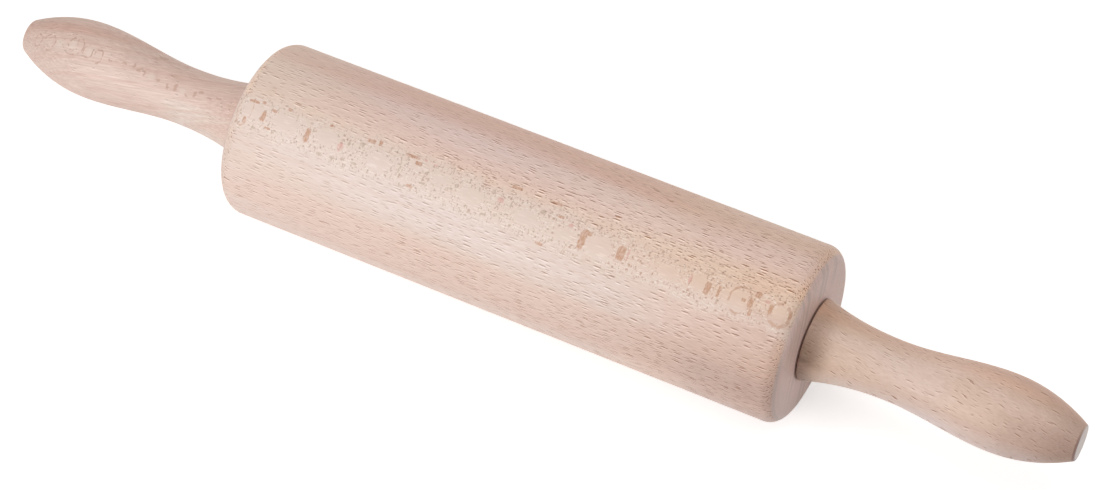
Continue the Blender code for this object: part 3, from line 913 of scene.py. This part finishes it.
# The finish of each material slot but the two of wood. After its colour a metal has its roughness, its lines
# and a seed
FINISHES = {
    "axle_steel": lambda: metal("axle_steel_drawn", srgb(196, 196, 198), 0.34, DRAWN_LINES, 2),
    "bearing_steel": lambda: metal("bearing_steel_ground", srgb(218, 218, 220), 0.18, ROUND_LINES, 4),
    "fastener_zinc": lambda: metal("fastener_zinc_plated", srgb(204, 207, 210), 0.36, PLATED_GRAIN, 6),
    "insert_brass": lambda: metal("insert_brass_turned", srgb(219, 194, 137), 0.30, ROUND_LINES, 8),
    "cage_nylon": lambda: nylon("cage_nylon_moulded", srgb(219, 216, 205)),
}


def finish_cad_nodes():
    """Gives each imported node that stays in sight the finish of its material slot."""
    made = {}
    for part in frame["record"]["subparts"]:
        slot_name = part["material_slot"]
        if slot_name not in FINISHES:
            continue
        if slot_name not in made:
            made[slot_name] = FINISHES[slot_name]()
        for material_slot in frame["nodes"][part["node"]].material_slots:
            material_slot.material = made[slot_name]


# ---- turned wood
def arc(centre_x, centre_radius, radius, start, end, points=EDGE_POINTS):
    """Points of an arc in the (x, radius) plane, between two angles from +X."""
    angles = [start + (end - start) * step / (points - 1) for step in range(points)]
    return [(centre_x + radius * math.cos(a), centre_radius + radius * math.sin(a)) for a in angles]


def spun(name, outline, sides, closed):
    """A mesh of (x, radius) points spun about the axle."""
    form = bmesh.new()
    corners = [form.verts.new((x, 0, AXLE_HEIGHT - radius)) for x, radius in outline]
    edges = [form.edges.new(pair) for pair in zip(corners, corners[1:])]
    if closed:
        edges.append(form.edges.new((corners[-1], corners[0])))
    bmesh.ops.spin(
        form,
        geom=corners + edges,
        cent=(0, 0, AXLE_HEIGHT),
        axis=(1, 0, 0),
        angle=math.tau,
        steps=sides,
        use_merge=True,
    )
    bmesh.ops.remove_doubles(form, verts=form.verts, dist=MERGE_DISTANCE)
    bmesh.ops.recalc_face_normals(form, faces=form.faces)
    mesh = bpy.data.meshes.new(name)
    form.to_mesh(mesh)
    form.free()
    mesh.shade_smooth()
    mesh.set_sharp_from_angle(angle=SMOOTH_ANGLE)
    return mesh


def roller_outline():
    """The barrel with its rounded ends, bearing seats and bore."""
    round_x = ROLLER_HALF_LENGTH - ROLLER_EDGE_ROUND
    barrel = [(round_x * (2 * step / BARREL_STEPS - 1), AXLE_HEIGHT) for step in range(1, BARREL_STEPS)]
    end = [
        *arc(round_x, AXLE_HEIGHT - ROLLER_EDGE_ROUND, ROLLER_EDGE_ROUND, math.pi / 2, 0),
        (ROLLER_HALF_LENGTH, SEAT_RADIUS + SEAT_LEAD_IN),
        (ROLLER_HALF_LENGTH - SEAT_LEAD_IN, SEAT_RADIUS),
        (SEAT_BOTTOM, SEAT_RADIUS),
        (SEAT_BOTTOM, BORE_RADIUS),
    ]
    return barrel + end + [(-x, r) for x, r in reversed(end)]


def grip_outline(tip_edge):
    """The handle's outside, from the neck's end face to the flat at its tip, whose edge has that radius."""
    waist_x = HANDLE_START + HANDLE_LENGTH * WAIST_SHARE
    belly_x = HANDLE_START + HANDLE_LENGTH * BELLY_SHARE
    flare_start = HANDLE_START + NECK_EDGE
    tip_slope = TIP_CURVE_POWER * (BELLY_RADIUS - TIP_RADIUS) / (HANDLE_END - belly_x)
    lean = math.atan2(1, tip_slope)
    tip_start = HANDLE_END - tip_edge * (1 - math.cos(lean))
    shares = [step / CURVE_STEPS for step in range(CURVE_STEPS)]
    neck_centre = (flare_start, NECK_RADIUS - NECK_EDGE)
    tip_centre = (HANDLE_END - tip_edge, TIP_RADIUS - tip_edge * math.sin(lean))
    outline = arc(*neck_centre, NECK_EDGE, math.pi, math.pi / 2, NECK_EDGE_POINTS)[:-1]
    for start_x, end_x, from_radius, to_radius, share_at in (
        (flare_start, waist_x, WAIST_RADIUS, NECK_RADIUS, lambda s: (1 - s) ** NECK_FLARE_POWER),
        (waist_x, belly_x, WAIST_RADIUS, BELLY_RADIUS, lambda s: s * s * (3 - 2 * s)),
        (belly_x, tip_start, BELLY_RADIUS, TIP_RADIUS, lambda s: s**TIP_CURVE_POWER),
    ):
        outline += [
            (start_x + (end_x - start_x) * s, from_radius + (to_radius - from_radius) * share_at(s))
            for s in shares
        ]
    return outline + arc(*tip_centre, tip_edge, lean, 0, TIP_EDGE_POINTS)


def handle_outline(tip_edge):
    """The whole handle, from the end of its stepped blind hole round to the middle of its tip."""
    hole = []
    start = HANDLE_START
    for end, radius in HANDLE_HOLE:
        hole += [(start, radius), (end, radius)]
        start = end
    return [(HOLE_CONE_END, 0), *reversed(hole), *grip_outline(tip_edge), (HANDLE_END, 0)]


def piece(name, mesh, material, body, node_name):
    """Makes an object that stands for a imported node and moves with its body."""
    mesh.materials.append(material)
    item = placed(name, mesh)
    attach(item, body)
    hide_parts(node_name)


def turned_pieces():
    """The roller and both handles in smooth, fine-grained beech."""
    roller = spun("roller_turned", roller_outline(), ROLLER_SIDES, True)
    piece("roller_turned", roller, beech("roller_beech", ROLLER_LOOK), "roller", "roller")
    for side, name, look, tip_edge in (
        (1, "right_handle", RIGHT_LOOK, RIGHT_TIP_EDGE),
        (-1, "left_handle", LEFT_LOOK, LEFT_TIP_EDGE),
    ):
        outline = [(side * x, r) for x, r in handle_outline(tip_edge)]
        mesh = spun(name + "_turned", outline, HANDLE_SIDES, False)
        piece(name + "_turned", mesh, beech(name + "_beech", look), "spindle", name)


# ---- floor, light and camera
FLOOR_RADIUS = 3.0
FLOOR_SIDES = 96
FLOOR_FADE = (0.5, 1.6)
FLOOR_GLOW = (0.62, 1.0)
FLOOR_COLOUR = (0.84, 0.84, 0.84, 1)
AMBIENT = 0.06
WHITE = (1, 1, 1)
WARM_WHITE = (1, 0.95, 0.9)
# Each lamp's name, azimuth, elevation, distance, size, watts, place along the axle that it faces, and colour
LAMPS = (
    ("front", -16, 16, 1.2, 0.55, 5.7, 0.0, WHITE),
    ("left", 0, 45, 0.6, 0.4, 1.05, -0.25, WHITE),
    ("back", -150, 12, 1.2, 0.8, 2.7, 0.0, WARM_WHITE),
    ("back_high", -150, 60, 1.2, 0.8, 2.4, 0.0, WARM_WHITE),
    ("right", 0, 85, 0.6, 0.4, 1.05, 0.25, WHITE),
    ("right_end", 85, 30, 1.2, 0.8, 1.3, 0.0, WHITE),
)


def seen_directly(tree):
    """1 for rays that show the background: from the camera, or by reflection or through glass."""
    path = node(tree, "LightPath")
    glossy = maths(tree, "MAXIMUM", path.outputs["Is Camera Ray"], path.outputs["Is Glossy Ray"])
    return maths(tree, "MAXIMUM", glossy, path.outputs["Is Transmission Ray"])


def white_floor():
    """A wide white disc that keeps the pin's shadow, and glows more the further it is from the pin."""
    form = bmesh.new()
    bmesh.ops.create_circle(form, cap_ends=True, segments=FLOOR_SIDES, radius=FLOOR_RADIUS)
    mesh = bpy.data.meshes.new("floor")
    form.to_mesh(mesh)
    form.free()
    material = bpy.data.materials.new("floor_white")
    material.use_nodes = True
    tree = material.node_tree
    tree.nodes.clear()
    diffuse = node(tree, "BsdfDiffuse", {"Color": FLOOR_COLOUR})
    far = length_of(tree, node(tree, "TexCoord").outputs["Object"])
    strength = fade(tree, far, *FLOOR_FADE, *FLOOR_GLOW)
    glow = node(tree, "Emission", {"Strength": maths(tree, "MULTIPLY", seen_directly(tree), strength)})
    total = node(tree, "AddShader", {0: diffuse.outputs[0], 1: glow.outputs[0]})
    node(tree, "OutputMaterial", {"Surface": total.outputs[0]})
    mesh.materials.append(material)
    floor = placed("floor", mesh)


def studio_world(ambient):
    """A white surround where it is seen, and a dimmer one where it lights."""
    world = bpy.data.worlds.new("studio")
    bpy.context.scene.world = world
    world.use_nodes = True
    tree = world.node_tree
    tree.nodes.clear()
    dim = node(tree, "Background", {"Color": (ambient, ambient, ambient, 1), "Strength": 1.0})
    white = node(tree, "Background", {"Color": (1, 1, 1, 1), "Strength": 1.0})
    chosen = node(tree, "MixShader", {0: seen_directly(tree), 1: dim.outputs[0], 2: white.outputs[0]})
    node(tree, "OutputWorld", {"Surface": chosen.outputs[0]})


def soft_lamp(name, azimuth, elevation, distance, size, watts, x, colour):
    """A square lamp that faces the axle at x. Azimuth 0 is in front of it, at -Y, and 90 at its right end."""
    a, e = math.radians(azimuth), math.radians(elevation)
    away = Vector((math.sin(a) * math.cos(e), -math.cos(a) * math.cos(e), math.sin(e)))
    data = bpy.data.lights.new(name, "AREA")
    data.shape = "SQUARE"
    data.size = size
    data.energy = watts
    data.color = colour
    lamp = placed(name, data)
    lamp.location = Vector((x, 0, AXLE_HEIGHT)) + away * distance
    lamp.rotation_euler = away.to_track_quat("Z", "Y").to_euler()


def photo_camera():
    """The photograph's viewpoint, level with the horizon, with its frame round the pin."""
    right = Vector((math.cos(AZIMUTH), math.sin(AZIMUTH), 0))
    ahead = Vector((-math.sin(AZIMUTH), math.cos(AZIMUTH), 0))
    forward = ahead * math.cos(ELEVATION) - Vector((0, 0, math.sin(ELEVATION)))
    up = right.cross(forward)
    aside = (CENTRE_PIXEL[0] - IMAGE_WIDTH / 2) / FOCAL_PIXELS
    below = (CENTRE_PIXEL[1] - IMAGE_HEIGHT / 2) / FOCAL_PIXELS
    middle = Vector((0, 0, AXLE_HEIGHT))
    data = bpy.data.cameras.new("photo_camera")
    data.sensor_fit = "HORIZONTAL"
    data.sensor_width = SENSOR_WIDTH
    data.lens = FOCAL_PIXELS / IMAGE_WIDTH * SENSOR_WIDTH
    data.clip_start = CLIP_START
    data.clip_end = CLIP_END
    turn = Matrix((right, up, -forward)).transposed().to_4x4()
    place = middle - DISTANCE * (forward + aside * right - below * up)
    camera = placed("photo_camera", data)
    camera.matrix_world = Matrix.Translation(place) @ turn
    bpy.context.scene.camera = camera


turned_pieces()
finish_cad_nodes()
white_floor()
studio_world(AMBIENT)
for lamp in LAMPS:
    soft_lamp(*lamp)
photo_camera()
bpy.context.scene.view_settings.view_transform = "Standard"
